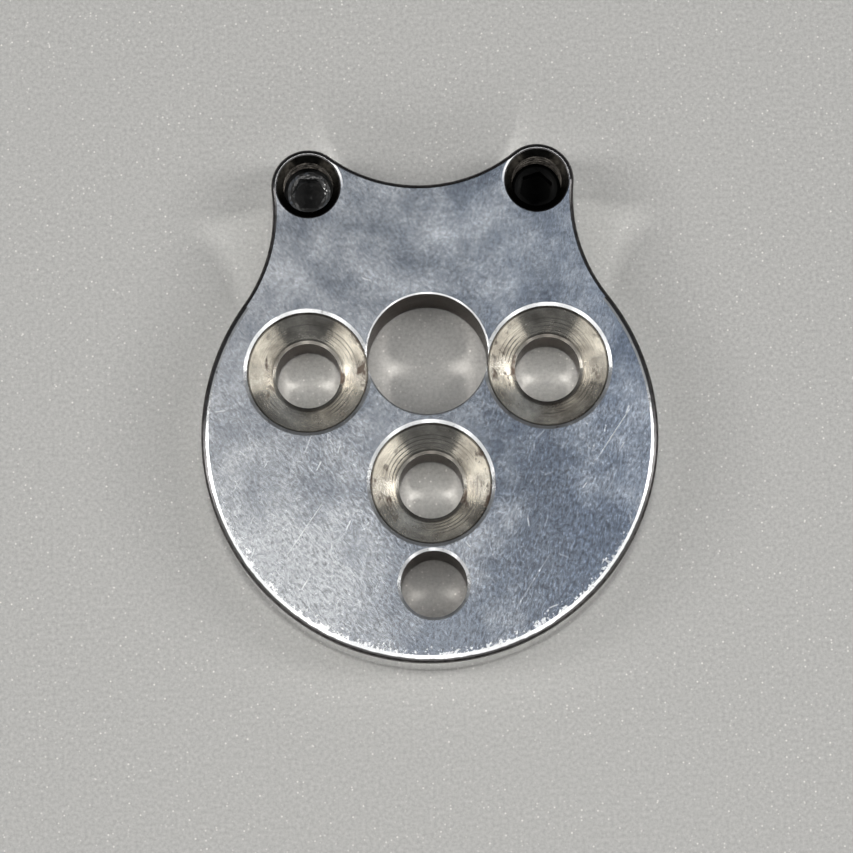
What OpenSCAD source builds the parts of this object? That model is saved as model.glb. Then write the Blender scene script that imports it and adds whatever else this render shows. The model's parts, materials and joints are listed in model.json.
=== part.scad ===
// Flat aluminium mounting plate: a round disc with two tapped ears, three countersunk
// screw holes, a large and a small plain hole, and one hex-socket set screw in each ear.
// Millimetres, +Z up. The underside lies at z = 0, the centre of the disc is the origin,
// and the ears point along +Y.

/* [Plate] */
// Thickness of the plate
plate_t = 6; // [5:0.5:10]
// Diameter of the round disc
disc_d = 30; // [29:0.5:40]
// Width of the bevel around the disc, at both faces
disc_bevel_w = 0.33; // [0.1:0.01:0.6]
// Width of the bevel around the ears and along the hollows, at both faces
ear_bevel_w = 0.12; // [0.05:0.01:0.15]
// Radius that rounds every bevel into the side wall
edge_r = 0.25; // [0.1:0.05:0.3]

/* [Ears] */
// Distance between the centres of the two ears
ear_spacing = 15.1; // [13:0.1:18]
// Distance of the ears' centre line beyond the top of the disc
ear_reach = 1.75; // [1:0.05:5]
// Diameter of an ear
ear_d = 4.9; // [4.8:0.1:6]
// Radius of the hollow sides that run from each ear into the disc
side_r = 10.6; // [8:0.1:16]
// Distance of the floor of the hollow between the ears beyond the top of the disc
notch_reach = 1.65; // [0.5:0.05:2]

/* [Countersunk holes] */
// Distance between the two upper countersunk holes
csk_spacing = 15.8; // [15:0.1:17]
// Distance of the upper countersunk holes above the disc's centre
csk_upper_y = 4.35; // [3.5:0.05:5]
// Distance of the lower countersunk hole below the disc's centre
csk_lower_y = 3.2; // [2.8:0.05:3.4]
// Diameter of the bore that clears the screw
csk_bore_d = 4.3; // [3.4:0.1:4.8]
// Diameter of the countersink inside its broken edge
csk_mouth_d = 8; // [7:0.1:8.2]
// Full angle of the countersink's cone
csk_angle = 100; // [80:1:120]
// Depth of the short steep wall between the broken edge and the cone
csk_wall_h = 0.2; // [0.1:0.05:0.5]
// Width of the broken edge around the countersink
csk_lip_w = 0.22; // [0.1:0.01:0.25]
// Width of the bevel between the cone and the bore
csk_bevel_w = 0.2; // [0.1:0.05:0.3]

/* [Plain holes] */
// Diameter of the large plain hole
big_d = 8; // [6:0.1:8.2]
// Distance of the large plain hole above the disc's centre
big_y = 5.35; // [5.1:0.05:6]
// Width of the broken edge around the large plain hole
big_lip_w = 0.1; // [0.05:0.05:0.2]
// Diameter of the small plain hole
small_d = 4.4; // [3:0.1:4.6]
// Distance of the small plain hole below the disc's centre
small_y = 9.85; // [9.7:0.05:11]
// Width of the broken edge around the small plain hole
small_lip_w = 0.2; // [0.05:0.05:0.25]

/* [Tapped holes] */
// Nominal diameter of the thread
thread_d = 4; // [3:0.5:4]
// Pitch of the thread
thread_p = 0.7; // [0.5:0.05:0.7]
// Width of the chamfer at the mouth of a tapped hole
tap_chamfer = 0.44; // [0.2:0.02:0.5]
// Width of the broken edge around that chamfer
tap_lip_w = 0.08; // [0.04:0.02:0.12]
// Radial clearance between a set screw's thread and its hole
thread_gap = 0.04; // [0.02:0.01:0.06]

/* [Set screws] */
// Length of a set screw
screw_l = 3; // [2.5:0.1:4]
// Width across the flats of the hex socket
socket_af = 2; // [1.5:0.1:2]
// Depth of the hex socket
socket_h = 1.5; // [1:0.1:2]
// Diameter of the chamfered mouth of the hex socket
socket_mouth_d = 2.5; // [2.4:0.05:2.55]
// Diameter of the flat face around the socket
screw_face_d = 2.85; // [2.6:0.05:3]
// Diameter of the flat point
screw_point_d = 2.5; // [2:0.1:3]
// Height of the left screw's point above the underside of the plate
screw_left_z = 0.3; // [0:0.1:1.5]
// Height of the right screw's point above the underside of the plate
screw_right_z = 0; // [0:0.1:1.5]
// Turn of the left screw's socket
screw_left_turn = 0; // [0:1:59]
// Turn of the right screw's socket
screw_right_turn = 17; // [0:1:59]

/* [Hidden] */
$fn = 96;

EPS = 0.5;              // how far a cutter runs past the surface it opens
BITE = 0.01;            // how far a hollow bites into the disc and the ears it touches
EDGE_STEPS = 5;         // facets in a rounded edge
EDGE_SLOPE = 25;        // fall of the outline's bevel below the face, in degrees
LIP_SLOPE = 30;         // fall of a hole's broken edge below the face, in degrees
WALL_LEAN = 15;         // lean of the countersink's steep wall, in degrees
UNDER_LIP_W = 0.1;      // broken edge of every hole at the underside
POINT_ANGLE = 120;      // full angle of the drill point under the socket
MOUTH_ANGLE = 130;      // full angle of the socket's chamfered mouth

disc_r = disc_d / 2;
ear_x = ear_spacing / 2;
ear_y = disc_r + ear_reach;
notch_y = disc_r + notch_reach;
ear_r = ear_d / 2;
csk_bore_r = csk_bore_d / 2;
csk_mouth_r = csk_mouth_d / 2;
ear_centre = [ear_x, ear_y];

// A hollow side is a circle outside both the disc and the ear and touching both.
ear_dist = norm(ear_centre);
side_along = ((disc_r + side_r) ^ 2 - (ear_r + side_r) ^ 2 + ear_dist ^ 2) / (2 * ear_dist);
side_across = sqrt((disc_r + side_r) ^ 2 - side_along ^ 2);
side_centre = [
    (side_along * ear_x + side_across * ear_y) / ear_dist,
    (side_along * ear_y - side_across * ear_x) / ear_dist,
];

// The hollow between the ears is a circle that touches both ears and passes through notch_y.
notch_low = notch_y - ear_r;
notch_centre_y = (ear_y + notch_low + ear_x ^ 2 / (ear_y - notch_low)) / 2;
notch_r = notch_centre_y - notch_y;
notch_centre = [0, notch_centre_y];

// Thread form: a groove of 60 degrees with a flat floor an eighth of the pitch wide.
thread_depth = thread_p / 2;
crest_half = thread_p / 16;
root_half = crest_half + thread_depth * tan(30);
thread_r = thread_d / 2;
tap_r = thread_r - thread_depth;

function flip(points) = [for (i = [len(points) - 1:-1:0]) points[i]];

// How far a bevelled edge reaches in from the side wall.
function edge_reach(bevel_w) = bevel_w + edge_r * (1 - sin(EDGE_SLOPE));

// Bevelled edge at height z, from the face to the side wall at radius r.
function edge_line(r, bevel_w, z, inward, up) =
    let (drop = bevel_w * tan(EDGE_SLOPE))
    concat(
        [[r - inward * edge_reach(bevel_w), z]],
        [
            for (i = [0:EDGE_STEPS])
                let (a = EDGE_SLOPE + (90 - EDGE_SLOPE) * i / EDGE_STEPS)
                [
                    r - inward * edge_r * (1 - sin(a)),
                    z - up * (drop + edge_r * (cos(EDGE_SLOPE) - cos(a))),
                ]
        ]
    );

// Section of a thread whose grooves stand at half pitches above z = 0.
function thread_section(low, high, inner_r, outer_r) = concat(
    [[0, low * thread_p], [inner_r, low * thread_p]],
    [
        for (i = [low:high - 1])
            let (z = (i + 0.5) * thread_p)
            each [
                [inner_r, z - root_half],
                [outer_r, z - crest_half],
                [outer_r, z + crest_half],
                [inner_r, z + root_half],
            ]
    ],
    [[inner_r, high * thread_p], [0, high * thread_p]]
);

// Round post with bevelled edges at both ends.
module bevelled_post(r, bevel_w) {
    rotate_extrude()
        polygon(concat(
            [[0, 0]],
            edge_line(r, bevel_w, 0, 1, -1),
            flip(edge_line(r, bevel_w, plate_t, 1, 1)),
            [[0, plate_t]]
        ));
}

// Cutter for a hollow in the outline, which leaves a bevelled edge at both faces.
module hollow_cutter(centre, touching_r) {
    r = touching_r + BITE;
    mouth_r = r + edge_reach(ear_bevel_w);
    translate([centre.x, centre.y, 0])
        rotate_extrude()
            polygon(concat(
                [[0, -EPS], [mouth_r, -EPS]],
                edge_line(r, ear_bevel_w, 0, -1, -1),
                flip(edge_line(r, ear_bevel_w, plate_t, -1, 1)),
                [[mouth_r, plate_t + EPS], [0, plate_t + EPS]]
            ));
}

// Filling between the disc and the ears, from centre to centre. The hollows cut it to shape.
module web() {
    linear_extrude(plate_t)
        polygon([
            [0, 0],
            side_centre,
            ear_centre,
            notch_centre,
            [-ear_centre.x, ear_centre.y],
            [-side_centre.x, side_centre.y],
        ]);
}

module blank() {
    difference() {
        union() {
            bevelled_post(disc_r, disc_bevel_w);
            for (side = [-1, 1])
                translate([side * ear_x, ear_y, 0])
                    bevelled_post(ear_r, ear_bevel_w);
            web();
        }
        for (side = [-1, 1])
            hollow_cutter([side * side_centre.x, side_centre.y], side_r);
        hollow_cutter(notch_centre, notch_r);
    }
}

// Plain hole with its edges broken at both faces.
module plain_hole(r, lip_w) {
    lip_h = lip_w * tan(LIP_SLOPE);
    under_h = UNDER_LIP_W * tan(LIP_SLOPE);
    rotate_extrude()
        polygon([
            [0, -EPS],
            [r + UNDER_LIP_W, -EPS],
            [r + UNDER_LIP_W, 0],
            [r, under_h],
            [r, plate_t - lip_h],
            [r + lip_w, plate_t],
            [r + lip_w, plate_t + EPS],
            [0, plate_t + EPS],
        ]);
}

// Countersink above a clearance bore: broken edge, short steep wall, cone, bevel, bore.
module countersunk_hole() {
    lip_z = plate_t - csk_lip_w * tan(LIP_SLOPE);
    wall_z = lip_z - csk_wall_h;
    cone_r = csk_mouth_r - csk_wall_h * tan(WALL_LEAN);
    bevel_r = csk_bore_r + csk_bevel_w;
    bevel_z = wall_z - (cone_r - bevel_r) / tan(csk_angle / 2);
    bore_z = bevel_z - csk_bevel_w * tan(LIP_SLOPE);
    plain_hole(csk_bore_r, UNDER_LIP_W);
    rotate_extrude()
        polygon([
            [0, bore_z],
            [csk_bore_r, bore_z],
            [bevel_r, bevel_z],
            [cone_r, wall_z],
            [csk_mouth_r, lip_z],
            [csk_mouth_r + csk_lip_w, plate_t],
            [csk_mouth_r + csk_lip_w, plate_t + EPS],
            [0, plate_t + EPS],
        ]);
}

// Tapped hole with its mouths chamfered.
module tapped_hole() {
    turns = ceil(plate_t / thread_p) + 1;
    lip_z = plate_t - tap_lip_w * tan(LIP_SLOPE);
    chamfer_r = tap_r + tap_chamfer;
    rotate_extrude()
        polygon(thread_section(-1, turns, tap_r, thread_r));
    rotate_extrude()
        polygon([
            [0, lip_z - tap_chamfer],
            [tap_r, lip_z - tap_chamfer],
            [chamfer_r, lip_z],
            [chamfer_r + tap_lip_w, plate_t],
            [chamfer_r + tap_lip_w, plate_t + EPS],
            [0, plate_t + EPS],
        ]);
    translate([0, 0, -EPS])
        cylinder(h = thread_depth + EPS, r1 = thread_r + EPS, r2 = tap_r);
}

module plate() {
    color("lightsteelblue")
    difference() {
        blank();
        for (side = [-1, 1]) {
            translate([side * csk_spacing / 2, csk_upper_y, 0])
                countersunk_hole();
            translate([side * ear_x, ear_y, 0])
                tapped_hole();
        }
        translate([0, -csk_lower_y, 0])
            countersunk_hole();
        translate([0, big_y, 0])
            plain_hole(big_d / 2, big_lip_w);
        translate([0, -small_y, 0])
            plain_hole(small_d / 2, small_lip_w);
    }
}

// Outside of a set screw: flat point and flat face, both chamfered at 45 degrees.
module screw_envelope(z) {
    r = thread_r - thread_gap;
    point_r = screw_point_d / 2;
    face_r = screw_face_d / 2;
    top = z + screw_l;
    rotate_extrude()
        polygon([
            [0, z],
            [point_r, z],
            [r, z + r - point_r],
            [r, top - r + face_r],
            [face_r, top],
            [0, top],
        ]);
}

// Cone that points down from a circle of radius r at z = 0 and goes on above it by extra.
module point_down(r, angle, extra) {
    slope = tan(angle / 2);
    depth = r / slope;
    translate([0, 0, -depth])
        cylinder(h = depth + extra, r1 = 0, r2 = (depth + extra) * slope);
}

// Set screw whose point stands at height z, with the socket turned by an angle.
module set_screw(z, turn) {
    top = z + screw_l;
    low = floor(z / thread_p) - 1;
    high = ceil(top / thread_p) + 1;
    socket_r = socket_af / 2;
    color([0.12, 0.12, 0.13])
    difference() {
        intersection() {
            screw_envelope(z);
            rotate_extrude()
                polygon(thread_section(low, high, tap_r - thread_gap, thread_r - thread_gap));
        }
        translate([0, 0, top - socket_h])
            rotate([0, 0, turn])
                cylinder(h = socket_h + EPS, r = socket_r / cos(30), $fn = 6);
        translate([0, 0, top - socket_h])
            point_down(socket_r, POINT_ANGLE, 0);
        translate([0, 0, top])
            point_down(socket_mouth_d / 2, MOUTH_ANGLE, EPS);
    }
}

module set_screw_left() {
    translate([-ear_x, ear_y, 0])
        set_screw(screw_left_z, screw_left_turn);
}

module set_screw_right() {
    translate([ear_x, ear_y, 0])
        set_screw(screw_right_z, screw_right_turn);
}

plate();
set_screw_left();
set_screw_right();
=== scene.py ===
import json
import math

import bpy
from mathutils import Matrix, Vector


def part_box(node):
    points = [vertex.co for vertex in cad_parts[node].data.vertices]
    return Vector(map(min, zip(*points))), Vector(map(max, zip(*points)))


MM = 0.001

# Camera, in the part's frame: almost straight above the plate, a long lens
CAMERA_AT = (-1.254 * MM, -43.866 * MM, 335.727 * MM)
CAMERA_TURN = (7.670, 0.039, -1.650)    # degrees about X, Y and Z
CAMERA_LENS = 214.19                    # mm
CAMERA_SENSOR = 36                      # mm
CAMERA_CLIP = (0.01, 10)                # nearest and farthest that it sees, in metres

# Lights, mirrored left and right: azimuth from the front (-Y) towards the side, height
# above the floor, half width and half height, all in degrees as seen from the plate,
# then brightness and colour
LIGHT_DISTANCE = 0.6
SOFT_WHITE = (1.0, 0.985, 0.955)
LIGHTS = {
    "key": (93, 54, 6.5, 17, 9.9, SOFT_WHITE),
    "front": (20, 45, 20, 8, 1.02, SOFT_WHITE),
    "side": (58, 42, 20, 7, 1.02, SOFT_WHITE),
    "back": (152, 50, 26, 6, 0.6, SOFT_WHITE),
    "low": (62, 12, 24, 6, 1.4, (1.0, 0.955, 0.86)),
    "low_side": (102, 12, 15, 6, 0.7, (1.0, 0.96, 0.88)),
}

# The soft room: dark near the floor, brightest on its wall, a little less bright in a ring
# above the wall, then a dim and bluer top. Each fades in between two heights of a unit
# direction.
ROOM_COLOUR = (0.97, 1.0, 1.02, 1)
ROOM_LEVEL = 0.09
WALL_EDGE = (0.40, 0.58)
WALL_LEVEL = 0.26
RING_EDGE = (0.71, 0.83)
RING_LEVEL = 0.22
TOP_EDGE = (0.935, 0.98)
TOP_LEVEL = 0.13
TOP_COLOUR = (0.80, 0.94, 1.14, 1)

# Cards above the camera, whose reflections light parts of the plate's top:
# centre, width and depth in mm, turn about Z in degrees, brightness and colour
CARD_HEIGHT = 450                       # mm
CARDS = {
    "card_left": (-64, 42, 110, 224, 12, 0.42, (1.0, 0.97, 0.93)),
    "card_low_left": (-24, 30, 44, 56, 40, 3.8, (1.0, 0.99, 0.97)),
    "card_right": (88, 90, 110, 180, 0, 0.47, (0.80, 0.93, 1.14)),
}

# The floor, in metres, and its pale specks
FLOOR_SIZE = 3.0
SPECK_CELL = 0.36 * MM
FLOOR_DARK = (0.315, 0.312, 0.306, 1)
FLOOR_LIGHT = (0.468, 0.464, 0.455, 1)
FLOOR_CLOUD = (0.46, 0.46, 0.452, 1)
FLOOR_SPECK = (0.70, 0.69, 0.665, 1)

# Scratches on the plate's top: strength, cell of the pattern that spaces them, length and
# width, share of cells with one, main direction and spread in degrees, and bend
SCRATCHES = [
    (0.40, 0.80 * MM, 0.60 * MM, 0.045 * MM, 0.35, 40, 40, 0),
    (0.40, 0.90 * MM, 0.70 * MM, 0.045 * MM, 0.35, -60, 50, 0),
    (0.55, 1.90 * MM, 0.90 * MM, 0.050 * MM, 0.35, -62, 30, 0),
    (0.90, 3.10 * MM, 0.90 * MM, 0.060 * MM, 0.40, -20, 160, 0),
    (0.52, 5.20 * MM, 5.50 * MM, 0.048 * MM, 0.60, -60, 16, 4),
]
LAYER_STEP = (0.31, 0.17)               # moves each layer of them to other cells
# Painted reflections on the top, paler and darker patches: place and radius in mm, strength
PAINTED_REFLECTION_PATCHES = [
    (0, 12, 6, 0.06),
    (6, 13, 5, 0.14),
    (-9, -9, 7, 0.55),
    (-4, -1, 4, 0.06),
    (6, -2, 5, -0.20),
    (9, -9, 7, -0.42),
    (1, -14, 4, -0.70),
]
# Directions of the dense fine scratching at the left and at the right, in degrees
WIPES = {"left": (-42, -66), "right": (66, 84)}
WIPES_MEET = (-3 * MM, 4 * MM)          # X between which the one gives way to the other
HATCH_SCALE = (2100, 7500, 1)           # along, across and through that scratching, per metre
HATCH_STEP = (7.3, 3.1)                 # moves its second direction to other noise
HATCH_CONTRAST = 0.36
MOTTLE_CONTRAST = 0.24
CHIP_REACH = 1.15 * MM                  # farthest that a chip bites in from the rim
CHIPS_FADE = (-10 * MM, -3 * MM)        # Y between which the chips fade out
HIGHLIGHT_FADE = (-0.4 * MM, 0.8 * MM)       # Y from an ear's axis where the painted highlight on its land fades in

# Depths of the bumps that only the light shows
SWELL_DEPTH = 35e-6                     # slow waves in the polish of the top
SCRATCH_DEPTH = 3e-6
EDGE_DEPTH = 4e-6
SIDE_DEPTH = 1e-6
BORE_DEPTH = 3e-6
CONE_DEPTH = 10e-6

# Colours of the plate's finishes
# the top's tone runs between these two: real haze, and painted reflection of the bright cards and the dark room
POLISH_DARK_TONE = (0.365, 0.395, 0.445, 1)
POLISH_PALE_TONE = (0.86, 0.87, 0.88, 1)
# bare metal of the scratches and chips, and the painted highlight behind the ear holes
BARE_METAL_AND_HIGHLIGHT = (0.97, 0.97, 0.98, 1)
EDGE_BRIGHT = (0.80, 0.81, 0.83, 1)
EDGE_PIT = (0.20, 0.20, 0.205, 1)
# painted dark reflection on the outer part of the disc's bevel
EDGE_PAINTED_DARK = (0.08, 0.078, 0.08, 1)
SIDE_METAL = (0.72, 0.72, 0.71, 1)
# painted dark reflection: the band at the top of the side wall
SIDE_PAINTED_DARK = (0.03, 0.028, 0.027, 1)
CONE_DARK = (0.425, 0.40, 0.362, 1)
CONE_LIGHT = (0.88, 0.845, 0.77, 1)
CONE_GROOVE = (0.10, 0.09, 0.08, 1)
CONE_PAINTED_SHADE = (0.06, 0.052, 0.045, 1)
CONE_STAIN = (0.075, 0.045, 0.032, 1)
# Metals painted dark: name, light and dark tone, lowest and highest roughness. Painted shade on the threads and
# chamfers of the ear holes, painted dark reflection on the rounding into the side wall
DULL_METALS = {
    "thread": ("thread_painted_shade", (0.10, 0.09, 0.08, 1), (0.02, 0.018, 0.016, 1), 0.2, 0.4),
    "chamfer": ("chamfer_painted_shade", (0.045, 0.042, 0.038, 1), (0.012, 0.011, 0.010, 1), 0.2, 0.3),
    "rounding": ("rounding_painted_dark", (0.045, 0.042, 0.042, 1), (0.12, 0.115, 0.115, 1), 0.3, 0.3),
}
# Walls of the bores: name, lighter and darker tone. The drilled ones are darker all over, painted shade for the
# dim inside of the plain holes
BORES = {
    "drilled": ("drilled_bore", (0.66, 0.65, 0.64, 1), (0.46, 0.44, 0.42, 1)),
    "reamed": ("reamed_bore", (0.88, 0.87, 0.85, 1), (0.74, 0.72, 0.69, 1)),
}
# The left set screw is oiled. The right one is near black with almost no shine, painted shade for its deep unlit
# hole: name, colour, shine, lowest and highest roughness, and depth of the film on it
BLACK_OXIDES = [
    ("oiled_black_oxide", (0.12, 0.12, 0.12, 1), 0.5, 0.05, 0.10, 150e-6),
    ("black_oxide_painted_shade", (0.006, 0.006, 0.006, 1), 0.1, 0.40, 0.60, 5e-6),
]

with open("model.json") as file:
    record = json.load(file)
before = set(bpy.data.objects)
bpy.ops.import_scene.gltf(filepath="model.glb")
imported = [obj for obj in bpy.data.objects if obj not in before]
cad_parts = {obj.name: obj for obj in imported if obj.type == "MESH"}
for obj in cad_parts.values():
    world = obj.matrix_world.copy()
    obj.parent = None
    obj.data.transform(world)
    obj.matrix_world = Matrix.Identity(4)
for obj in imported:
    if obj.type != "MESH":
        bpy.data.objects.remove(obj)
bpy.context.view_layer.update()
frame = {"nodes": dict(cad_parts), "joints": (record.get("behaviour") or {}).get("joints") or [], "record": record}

plate = frame["nodes"]["plate"]
screws = [frame["nodes"]["set_screw_left"], frame["nodes"]["set_screw_right"]]
mounts = {m["name"]: m for m in frame["record"]["mounts"]}
ears = [Vector(j["pos_m"]) for j in frame["joints"]]
plate_low, plate_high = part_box("plate")
PLATE_T = plate_high.z - plate_low.z
CSK_BORE_R = mounts["countersunk_lower"]["dims"]["r_mm"] * MM
CSK_LIP_R = 4.0 * MM                    # where a countersink's broken edge starts
CSK_SHADE_R = 3.85 * MM                  # painted shade fills the corner under a countersink's lip
CSK_FOOT_R = (2.40 * MM, 2.50 * MM)     # and fades out round the foot of its cone
CSK_RINGS_R = (3.2 * MM, 3.5 * MM)      # its coarse tool rings fade out in between,
RING_PITCH = 0.235 * MM                 # lie this far apart
RING_WOBBLE = 0.06 * MM                 # and wander this far
RIM_R = 14.53 * MM                      # where the disc's bevel starts
PAINTED_DARK_FRONT = 0.20 * MM                  # the painted dark band, standing in for the dark room it would reflect, starts this far beyond that at the front
PAINTED_DARK_SIDE = 0.13 * MM                   # and this far at the sides
PAINTED_DARK_TURN = (-0.9, -0.1)                # between these Y of the direction from the middle
PAINTED_DARK_WOBBLE = 0.02 * MM                 # the line where it does so wanders this far
EAR_MOUTH_R = 2.1 * MM                  # where an ear hole's broken edge starts
EAR_HIGHLIGHT_R = 2.32 * MM                  # reach of the painted highlight round an ear hole
EAR_CHAMFER = 0.5 * MM                  # depth of an ear hole's chamfer
LIP_REACH = 4.4 * MM                    # no hole's broken edge reaches farther from its axis
SLACK = 0.03 * MM                       # faces of a bore lie within its radius and this
PAINTED_DARK_EDGE = (PLATE_T - 1.0 * MM, PLATE_T - 0.6 * MM)   # Z where the painted dark band at the top of the side wall fades in

# What tells the plate's faces apart: the height of a face's unit normal
FLAT_UP = 0.999                         # above: the top or the underside
BEVEL_UP = 0.88                         # above: the disc's bevel
LIP_UP = 0.8                            # above: the broken edge of a hole
WALL_UP = 0.3                           # below: the wall of a bore
ROUND_UP = 0.05                         # above: the rounding into the side wall


class Nodes:
    """A material's or world's node tree, built one node a line."""

    def __init__(self, tree):
        self.tree = tree
        tree.nodes.clear()

    def node(self, kind, *inputs, named=None, **settings):
        """Adds a node and fills its inputs, in order or by name."""
        node = self.tree.nodes.new("ShaderNode" + kind)
        for key, value in settings.items():
            setattr(node, key, value)
        for key, value in [*enumerate(inputs), *(named or {}).items()]:
            if isinstance(value, bpy.types.NodeSocket):
                self.tree.links.new(value, node.inputs[key])
            else:
                node.inputs[key].default_value = value
        return node

    def add(self, kind, *inputs, out=0, **rest):
        """Adds a node and returns one of its outputs."""
        return self.node(kind, *inputs, **rest).outputs[out]

    def place(self):
        """Where a point lies in the part's frame, in metres."""
        return self.add("TexCoord", out=3)

    def math(self, operation, *inputs):
        return self.add("Math", *inputs, operation=operation)

    def plus(self, a, b):
        return self.math("ADD", a, b)

    def times(self, a, b):
        return self.math("MULTIPLY", a, b)

    def larger(self, a, b):
        return self.math("MAXIMUM", a, b)

    def vector(self, operation, *inputs, out=0):
        return self.add("VectorMath", *inputs, operation=operation, out=out)

    def stretched(self, vector, factors):
        return self.vector("MULTIPLY", vector, factors)

    def flat(self, vector):
        """vector without its Z."""
        return self.stretched(vector, (1, 1, 0))

    def length(self, vector):
        return self.vector("LENGTH", vector, out=1)

    def axis(self, vector, letter):
        """X, Y or Z of vector."""
        return self.add("SeparateXYZ", vector, out="XYZ".index(letter))

    def slope(self, place, rise):
        """Value that grows by rise for each metre along X, Y and Z."""
        return self.vector("DOT_PRODUCT", place, rise, out=1)

    def turned(self, vector, angle):
        """vector turned about Z by an angle in radians."""
        return self.add("VectorRotate", named={"Vector": vector, "Angle": angle})

    def ramp(self, value, low, high, start=0.0, end=1.0, smooth=False):
        """value from low..high to start..end, clamped."""
        kind = "SMOOTHSTEP" if smooth else "LINEAR"
        return self.add("MapRange", value, low, high, start, end, interpolation_type=kind)

    def blend(self, factor, a, b):
        """Value a where factor is 0 and value b where it is 1."""
        return self.add("Mix", named={0: factor, 2: a, 3: b})

    def mix(self, factor, a, b):
        """Colour a where factor is 0 and colour b where it is 1."""
        return self.add("Mix", named={0: factor, 6: a, 7: b}, out=2, data_type="RGBA")

    def scaled(self, colour, gain):
        """colour times a value."""
        return self.add("VectorMath", named={0: colour, 3: gain}, operation="SCALE")

    def noise(self, vector, scale, detail, rough):
        """Noise between 0 and 1, scale waves to each unit of vector."""
        named = {"Vector": vector, "Scale": scale, "Detail": detail, "Roughness": rough}
        return self.add("TexNoise", named=named)

    def bump(self, height, depth, **rest):
        """Normal of a surface that rises by depth where height is 1."""
        named = {"Strength": 1.0, "Distance": depth, "Height": height, **rest}
        return self.add("Bump", named=named)


def material(name):
    """New material and its empty node tree."""
    made = bpy.data.materials.new(name)
    made.use_nodes = True
    return made, Nodes(made.node_tree)


def finish_material(n, **inputs):
    """Principled shader and output, with the inputs given by their names with _ for spaces."""
    named = {key.replace("_", " "): value for key, value in inputs.items()}
    n.node("OutputMaterial", n.add("BsdfPrincipled", named=named))


def strokes(n, place, layer, cell, length, width, share, lean, spread, bend):
    """One straight or bent scratch in some of the cells of a random pattern, 1 in a scratch."""
    moved = n.vector("ADD", place, (layer * LAYER_STEP[0], layer * LAYER_STEP[1], 0))
    flat = n.flat(moved)
    cells = n.node("TexVoronoi", named={"Vector": flat, "Scale": 1 / cell},
                   voronoi_dimensions="2D")
    pick = n.node("SeparateColor", cells.outputs["Color"])
    local = n.vector("SUBTRACT", flat, cells.outputs["Position"])
    least, most = math.radians(lean - spread / 2), math.radians(lean + spread / 2)
    spun = n.turned(local, n.ramp(pick.outputs[0], 0, 1, least, most))
    along, across = n.axis(spun, "X"), n.axis(spun, "Y")
    bow = n.times(n.times(along, along), bend)
    off = n.math("ABSOLUTE", n.plus(across, bow))
    line = n.ramp(off, width / 2, width, 1, 0, smooth=True)
    ends = n.ramp(n.math("ABSOLUTE", along), length / 4, length / 2, 1, 0, smooth=True)
    faint = n.ramp(pick.outputs[1], 0, 1, 0.35, 1)
    chosen = n.ramp(pick.outputs[2], 1 - share, 1)
    return n.times(n.times(n.times(line, faint), ends), chosen)


def hatching(n, place, directions, shift):
    """Dense short fine scratches in both directions, from 0 in between to 1 in a scratch."""
    layers = []
    for i, degrees in enumerate(directions):
        spun = n.turned(place, math.radians(-degrees))
        move = (HATCH_STEP[0] * i + shift, HATCH_STEP[1] * i, 0)
        spot = n.vector("ADD", n.stretched(spun, HATCH_SCALE), move)
        layers.append(n.ramp(n.noise(spot, 1.0, 2, 0.6), 0.36, 0.66))
    return n.times(n.plus(*layers), 0.5)


def make_haze_and_reflection(n, place):
    """Cloudy haze of the polish with painted reflection, paler to the left and in some patches, darker to the
    right and in others: 0 darkest, 1 palest.
    """
    # painted reflection: paler towards the left, darker towards the right
    smudge = n.plus(n.noise(place, 330, 3, 0.6), n.slope(place, (-7.0, 0, 0)))
    for x, y, reach, strength in PAINTED_REFLECTION_PATCHES:
        gap = n.vector("DISTANCE", n.flat(place), (x * MM, y * MM, 0), out=1)
        smudge = n.plus(smudge, n.ramp(gap, 0, reach * MM, strength, 0, smooth=True))
    return n.ramp(smudge, 0.28, 0.80)


def make_wear(n, place):
    """How worn the polish is: more at the front, in patches."""
    patches = n.noise(n.vector("ADD", place, (1, 1, 0)), 210, 2, 0.5)
    return n.ramp(n.plus(patches, n.slope(place, (0, -22.0, 0))), 0.34, 0.66, 0.25, 1)


def rim_chips(n, place):
    """Bright chips that bite into the top from the rim, at the front."""
    bite = n.ramp(n.noise(place, 2600, 4, 0.7), 0.50, 0.80, 0, CHIP_REACH)
    chips = n.ramp(n.plus(n.length(n.flat(place)), bite), RIM_R, RIM_R + 0.05 * MM)
    forward = n.ramp(n.axis(place, "Y"), *CHIPS_FADE, 0.7, 0)
    return n.times(chips, forward)


def ear_painted_highlight(n, place, ear):
    """Painted highlight on the narrow land behind an ear hole."""
    local = n.flat(n.vector("SUBTRACT", place, (ear.x, ear.y, 0)))
    land = n.ramp(n.length(local), EAR_HIGHLIGHT_R - 0.06 * MM, EAR_HIGHLIGHT_R, 1, 0)
    behind = n.ramp(n.axis(local, "Y"), *HIGHLIGHT_FADE)
    return n.times(land, behind)


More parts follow.
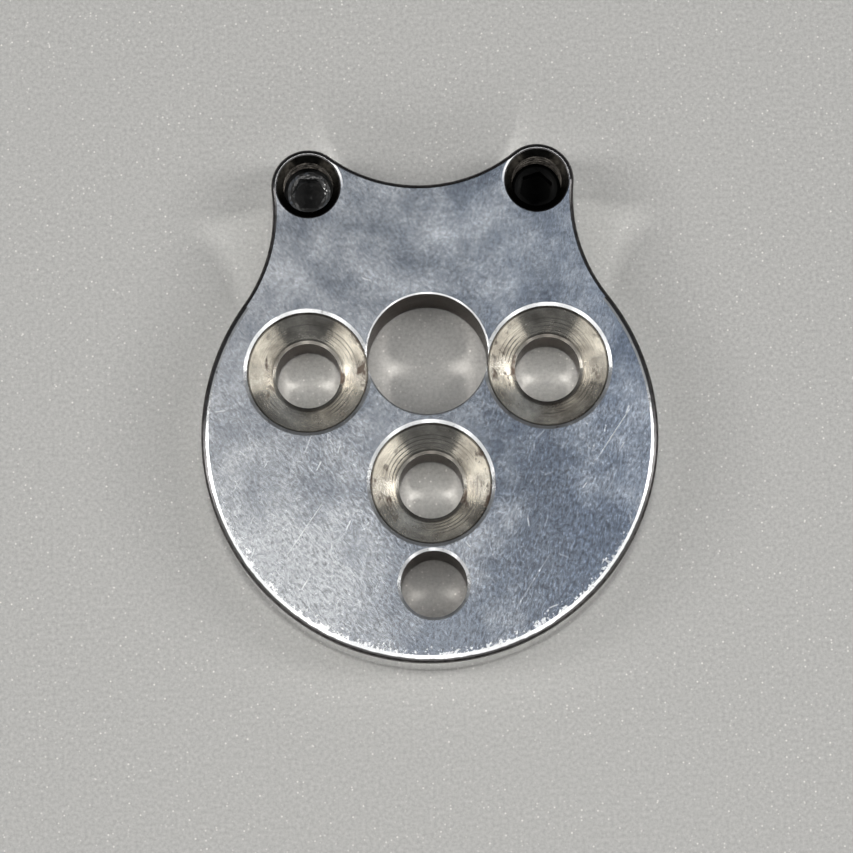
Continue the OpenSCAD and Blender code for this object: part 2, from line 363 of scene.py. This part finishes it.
def make_face():
    """Worn satin polish: cloudy haze with painted reflection, fine mottle and scratches, with some bright ones,
    and a painted highlight behind each ear hole.
    """
    made, n = material("worn_polish")
    place = n.place()
    haze_and_reflection = make_haze_and_reflection(n, place)
    wear = make_wear(n, place)
    mottle = n.ramp(n.noise(place, 4300, 2, 0.6), 0.30, 0.70)

    to_right = n.ramp(n.axis(place, "X"), *WIPES_MEET)
    left = hatching(n, place, WIPES["left"], shift=0)
    right = hatching(n, place, WIPES["right"], shift=40)
    grain = n.blend(to_right, left, right)

    marks_and_highlight = 0
    for layer, (strength, *form) in enumerate(SCRATCHES):
        marks_and_highlight = n.larger(marks_and_highlight, n.times(strokes(n, place, layer, *form), strength))
    marks_and_highlight = n.times(marks_and_highlight, n.ramp(wear, 0.25, 0.8, 0.35, 1))
    marks_and_highlight = n.larger(marks_and_highlight, rim_chips(n, place))
    # painted highlight on the land behind each ear hole
    for ear in ears:
        marks_and_highlight = n.larger(marks_and_highlight, ear_painted_highlight(n, place, ear))

    hatch = n.times(n.ramp(grain, 0, 1, -HATCH_CONTRAST, HATCH_CONTRAST), wear)
    speckle = n.ramp(mottle, 0, 1, -MOTTLE_CONTRAST, MOTTLE_CONTRAST)
    speckle = n.times(speckle, n.ramp(wear, 0.25, 1, 0.6, 1))
    gain = n.plus(n.plus(speckle, hatch), 1)
    tone = n.scaled(n.mix(haze_and_reflection, POLISH_DARK_TONE, POLISH_PALE_TONE), gain)
    colour = n.mix(marks_and_highlight, tone, BARE_METAL_AND_HIGHLIGHT)
    rough = n.plus(n.ramp(haze_and_reflection, 0, 1, 0.14, 0.22), n.times(mottle, 0.04))
    rough = n.plus(rough, n.times(marks_and_highlight, 0.28))
    metal = n.ramp(marks_and_highlight, 0.35, 1.0, 1.0, 0.35)
    swell = n.bump(n.noise(place, 200, 2, 0.5), SWELL_DEPTH)
    height = n.plus(n.times(grain, 0.5), n.times(marks_and_highlight, -1.5))
    height = n.plus(height, n.times(mottle, 0.4))
    bump = n.bump(height, SCRATCH_DEPTH, Normal=swell)
    finish_material(n, Base_Color=colour, Metallic=metal, Roughness=rough, Normal=bump)
    return made


def make_edge():
    """Bright turned bevels and broken edges, with a dark band painted on the outer part of the disc's bevel for
    the dark room it would reflect.
    """
    made, n = material("bright_edge")
    place = n.place()
    wear = n.noise(place, 1500, 4, 0.6)
    rough = n.ramp(wear, 0.3, 0.7, 0.12, 0.26)
    flat = n.flat(place)
    start = n.ramp(n.axis(n.vector("NORMALIZE", flat), "Y"), *PAINTED_DARK_TURN,
                   RIM_R + PAINTED_DARK_FRONT, RIM_R + PAINTED_DARK_SIDE)
    rim = n.plus(n.length(flat), n.ramp(wear, 0.3, 0.7, -PAINTED_DARK_WOBBLE, PAINTED_DARK_WOBBLE))
    # painted dark reflection: the outer part of the disc's bevel
    painted_dark_band = n.ramp(n.math("SUBTRACT", rim, start), 0, 0.04 * MM)
    pits = n.ramp(n.noise(place, 2600, 3, 0.6), 0.60, 0.72, 0, 0.5)
    colour = n.mix(painted_dark_band, n.mix(pits, EDGE_BRIGHT, EDGE_PIT), EDGE_PAINTED_DARK)
    bump = n.bump(wear, EDGE_DEPTH)
    finish_material(n, Base_Color=colour, Metallic=1.0, Roughness=rough, Normal=bump)
    return made


def make_side():
    """Milled and polished side wall with faint tool lines around it, with a dark band painted at its top for the
    dark room its rim would reflect.
    """
    made, n = material("polished_side")
    place = n.place()
    lines = n.noise(n.stretched(place, (60, 60, 9000)), 1.0, 3, 0.6)
    # painted dark reflection: dark, rough and not metallic towards the top of the wall
    painted_dark_top = n.ramp(n.axis(place, "Z"), *PAINTED_DARK_EDGE)
    colour = n.mix(painted_dark_top, SIDE_METAL, SIDE_PAINTED_DARK)
    metal = n.ramp(painted_dark_top, 0, 1, 1, 0)
    rough = n.ramp(painted_dark_top, 0, 1, n.ramp(lines, 0.3, 0.7, 0.07, 0.12), 0.65)
    bump = n.bump(lines, SIDE_DEPTH)
    finish_material(n, Base_Color=colour, Metallic=metal, Roughness=rough, Normal=bump)
    return made


def make_bore(name, bore_light_tone, bore_dark_tone):
    """Bore walls with fine turning lines and patches of dirt; a dark specular tint, painted shade, makes them dark
    when seen edge on.
    """
    made, n = material(name)
    place = n.place()
    lines = n.noise(n.stretched(place, (300, 300, 6000)), 1.0, 3, 0.6)
    dirt = n.noise(place, 900, 4, 0.6)
    colour = n.mix(n.ramp(dirt, 0.35, 0.7), bore_light_tone, bore_dark_tone)
    rough = n.ramp(lines, 0.3, 0.7, 0.14, 0.24)
    bump = n.bump(lines, BORE_DEPTH)
    # painted shade: the dark specular tint, and the low tone of the drilled bores
    finish_material(n, Base_Color=colour, Metallic=1.0, Roughness=rough, Normal=bump,
                    Specular_Tint=(0.22, 0.20, 0.19, 1))
    return made


def make_cone(name, centre):
    """Countersink turned round its own axis: tool rings, a warm tint and brown stains, with painted shade in the
    corner under its lip and round the foot of the cone.
    """
    made, n = material(name)
    place = n.place()
    flat = n.flat(n.vector("SUBTRACT", place, (centre.x, centre.y, 0)))
    radius = n.length(flat)
    across = n.vector("NORMALIZE", flat)
    sides = n.ramp(n.math("ABSOLUTE", n.axis(across, "X")), 0.6, 0.9)

    wobble = n.ramp(n.noise(place, 500, 2, 0.5), 0, 1, -RING_WOBBLE, RING_WOBBLE)
    turns = n.math("DIVIDE", n.plus(radius, wobble), RING_PITCH)
    groove = n.ramp(n.math("PINGPONG", turns, 0.5), 0.02, 0.16, 1, 0, smooth=True)
    groove = n.times(groove, n.ramp(radius, *CSK_RINGS_R, 1, 0))
    groove = n.times(groove, n.ramp(n.noise(place, 400, 1, 0.5), 0.4, 0.6))
    fine = n.noise(n.add("CombineXYZ", n.times(radius, 9000), 0, 0), 1.0, 2, 0.6)

    dirt = n.noise(n.stretched(place, (1, 0.6, 1)), 1000, 4, 0.65)
    stain = n.times(n.ramp(dirt, 0.57, 0.65), n.ramp(sides, 0, 1, 0.25, 1))
    # painted shade in the corner under the lip and round the foot of the cone
    corner = n.ramp(radius, CSK_SHADE_R, CSK_SHADE_R + 0.03 * MM)
    foot = n.times(n.ramp(radius, *CSK_FOOT_R, 1, 0), n.ramp(sides, 0, 1, 1, 0.75))
    painted_shade = n.larger(corner, foot)

    cloud = n.ramp(n.noise(place, 600, 3, 0.55), 0.35, 0.65)
    colour = n.mix(cloud, CONE_DARK, CONE_LIGHT)
    colour = n.mix(n.times(groove, 0.8), colour, CONE_GROOVE)
    colour = n.mix(n.times(painted_shade, 0.7), colour, CONE_PAINTED_SHADE)
    colour = n.mix(n.times(stain, 0.85), colour, CONE_STAIN)
    rough = n.plus(n.ramp(fine, 0.3, 0.7, 0.17, 0.25), n.times(stain, 0.3))
    height = n.math("SUBTRACT", n.times(fine, 0.35), n.times(groove, 0.3))
    bump = n.bump(height, CONE_DEPTH)
    finish_material(n, Base_Color=colour, Metallic=1.0, Roughness=rough, Anisotropic=0.35,
                    Tangent=across, Normal=bump)
    return made


def make_dull_metal(name, light, dark, low_rough, high_rough):
    """Metal painted dark in two tones: painted shade in the ear holes, painted dark reflection on the rounding
    into the side wall.
    """
    made, n = material(name)
    dirt = n.noise(n.place(), 2500, 4, 0.6)
    colour = n.mix(n.ramp(dirt, 0.35, 0.65), light, dark)
    rough = n.ramp(dirt, 0.3, 0.7, low_rough, high_rough)
    finish_material(n, Base_Color=colour, Metallic=1.0, Roughness=rough)
    return made


def make_black_steel(name, colour, shine, low_rough, high_rough, film_depth):
    """Black oxide with a film on it, as glossy as shine and as uneven as film_depth."""
    made, n = material(name)
    film = n.noise(n.place(), 1500, 2, 0.5)
    rough = n.ramp(film, 0.3, 0.7, low_rough, high_rough)
    bump = n.bump(film, film_depth)
    finish_material(n, Base_Color=colour, Metallic=shine, Roughness=rough, Normal=bump,
                    Specular_IOR_Level=shine)
    return made


def dress_plate():
    """Gives every face of the plate the finish of its region."""
    csk = [Vector(m["pos_m"]) for name, m in mounts.items() if name.startswith("countersunk")]
    bores = [(Vector(m["pos_m"]), m["dims"]["r_mm"] * MM) for m in mounts.values()
             if m["kind"] == "bore"]
    mouths = [axis for axis, r in bores] + ears
    finishes = {"face": make_face(), "edge": make_edge(), "side": make_side()}
    for name, look in DULL_METALS.items():
        finishes[name] = make_dull_metal(*look)
    for name, look in BORES.items():
        finishes[name] = make_bore(*look)
    for i, centre in enumerate(csk):
        finishes[f"cone_{i}"] = make_cone(f"turned_cone_{i}", centre)
    plate.data.materials.clear()
    for finish in finishes.values():
        plate.data.materials.append(finish)
    slots = {name: i for i, name in enumerate(finishes)}

    def away(point, axis):
        return math.hypot(point.x - axis.x, point.y - axis.y)

    def near_any(point, axes, reach):
        return any(away(point, axis) < reach for axis in axes)

    def region(at, up):
        """Finish of a face, by its middle and the height of its unit normal."""
        if abs(up) > FLAT_UP:
            return "face"
        for i, axis in enumerate(csk):
            if at.z > PLATE_T / 2 and CSK_BORE_R + SLACK < away(at, axis) < CSK_LIP_R:
                return f"cone_{i}"
        if near_any(at, ears, EAR_MOUTH_R):
            return "chamfer" if at.z > PLATE_T - EAR_CHAMFER else "thread"
        if abs(up) < WALL_UP and any(away(at, axis) < r + SLACK for axis, r in bores):
            return "reamed" if near_any(at, csk, CSK_LIP_R) else "drilled"
        if up > BEVEL_UP or (up > LIP_UP and near_any(at, mouths, LIP_REACH)):
            return "edge"
        return "rounding" if abs(up) > ROUND_UP else "side"

    for polygon in plate.data.polygons:
        polygon.material_index = slots[region(polygon.center, polygon.normal.z)]


def dress_screws():
    """Gives each set screw its black oxide."""
    for screw, look in zip(screws, BLACK_OXIDES):
        screw.material_slots[0].material = make_black_steel(*look)


def make_floor():
    """Pale grained floor with fine bright specks."""
    made, n = material("pale_floor")
    place = n.place()
    grain = n.ramp(n.noise(place, 4200, 4, 0.65), 0.3, 0.7)
    tone = n.ramp(n.noise(place, 12, 2, 0.5), 0.3, 0.7, 0, 0.15)
    colour = n.mix(tone, n.mix(grain, FLOOR_DARK, FLOOR_LIGHT), FLOOR_CLOUD)
    cells = n.node("TexVoronoi", named={"Vector": place, "Scale": 1 / SPECK_CELL})
    chosen = n.ramp(n.add("SeparateColor", cells.outputs["Color"]), 0.4, 1.0)
    speck = n.times(n.ramp(cells.outputs["Distance"], 0.10, 0.24, 1, 0), chosen)
    finish_material(n, Base_Color=n.mix(speck, colour, FLOOR_SPECK), Roughness=0.6)
    mesh = bpy.data.meshes.new("floor")
    half = FLOOR_SIZE / 2
    corners = [(-half, -half, 0), (half, -half, 0), (half, half, 0), (-half, half, 0)]
    mesh.from_pydata(corners, [], [(0, 1, 2, 3)])
    mesh.materials.append(made)
    floor = bpy.data.objects.new("floor", mesh)
    bpy.context.scene.collection.objects.link(floor)


def make_world():
    """Soft grey room, lit by how high a direction points."""
    world = bpy.data.worlds.new("studio")
    bpy.context.scene.world = world
    world.use_nodes = True
    n = Nodes(world.node_tree)
    height = n.axis(n.add("TexCoord", out=0), "Z")
    in_ring = n.ramp(height, *RING_EDGE, smooth=True)
    in_top = n.ramp(height, *TOP_EDGE, smooth=True)
    level = n.ramp(height, *WALL_EDGE, ROOM_LEVEL, WALL_LEVEL, smooth=True)
    level = n.blend(in_ring, level, RING_LEVEL)
    level = n.blend(in_top, level, TOP_LEVEL)
    n.node("OutputWorld", n.add("Background", n.mix(in_top, ROOM_COLOUR, TOP_COLOUR), level))


def add_area(name, width, height, level, colour, at, turn):
    """Rectangular light that looks level bright, with its place and its turn."""
    lamp = bpy.data.lights.new(name, "AREA")
    lamp.shape = "RECTANGLE"
    lamp.size = width
    lamp.size_y = height
    lamp.energy = level * math.pi * width * height
    lamp.color = colour
    box = bpy.data.objects.new(name, lamp)
    box.location = at
    box.rotation_euler = turn
    bpy.context.scene.collection.objects.link(box)


def make_light(name, side, azimuth, elevation, half_width, half_height, level, colour):
    """Soft box that faces the plate and fills the given angles as seen from it."""
    a, e = math.radians(azimuth), math.radians(elevation)
    away = Vector((side * math.sin(a) * math.cos(e), -math.cos(a) * math.cos(e), math.sin(e)))
    width = 2 * LIGHT_DISTANCE * math.tan(math.radians(half_width))
    height = 2 * LIGHT_DISTANCE * math.tan(math.radians(half_height))
    turn = away.to_track_quat("Z", "Y").to_euler()
    add_area(name, width, height, level, colour, away * LIGHT_DISTANCE, turn)


def make_card(name, x, y, width, depth, turn, level, colour):
    """Bright card facing down, as wide and deep as given."""
    add_area(name, width * MM, depth * MM, level, colour,
             (x * MM, y * MM, CARD_HEIGHT * MM), (0, 0, math.radians(turn)))


def make_camera():
    """Camera with a long lens above the plate."""
    lens = bpy.data.cameras.new("camera")
    lens.sensor_width = CAMERA_SENSOR
    lens.lens = CAMERA_LENS
    lens.clip_start, lens.clip_end = CAMERA_CLIP
    camera = bpy.data.objects.new("camera", lens)
    camera.location = CAMERA_AT
    camera.rotation_euler = [math.radians(angle) for angle in CAMERA_TURN]
    bpy.context.scene.collection.objects.link(camera)
    bpy.context.scene.camera = camera


make_camera()
make_world()
make_floor()
for name, light in LIGHTS.items():
    for hand, side in (("left", -1), ("right", 1)):
        make_light(f"{name}_{hand}", side, *light)
for name, card in CARDS.items():
    make_card(name, *card)

dress_plate()
dress_screws()

bpy.context.scene.view_settings.view_transform = "Standard"
bpy.context.scene.cycles.blur_glossy = 0    # keeps the light that polished walls throw
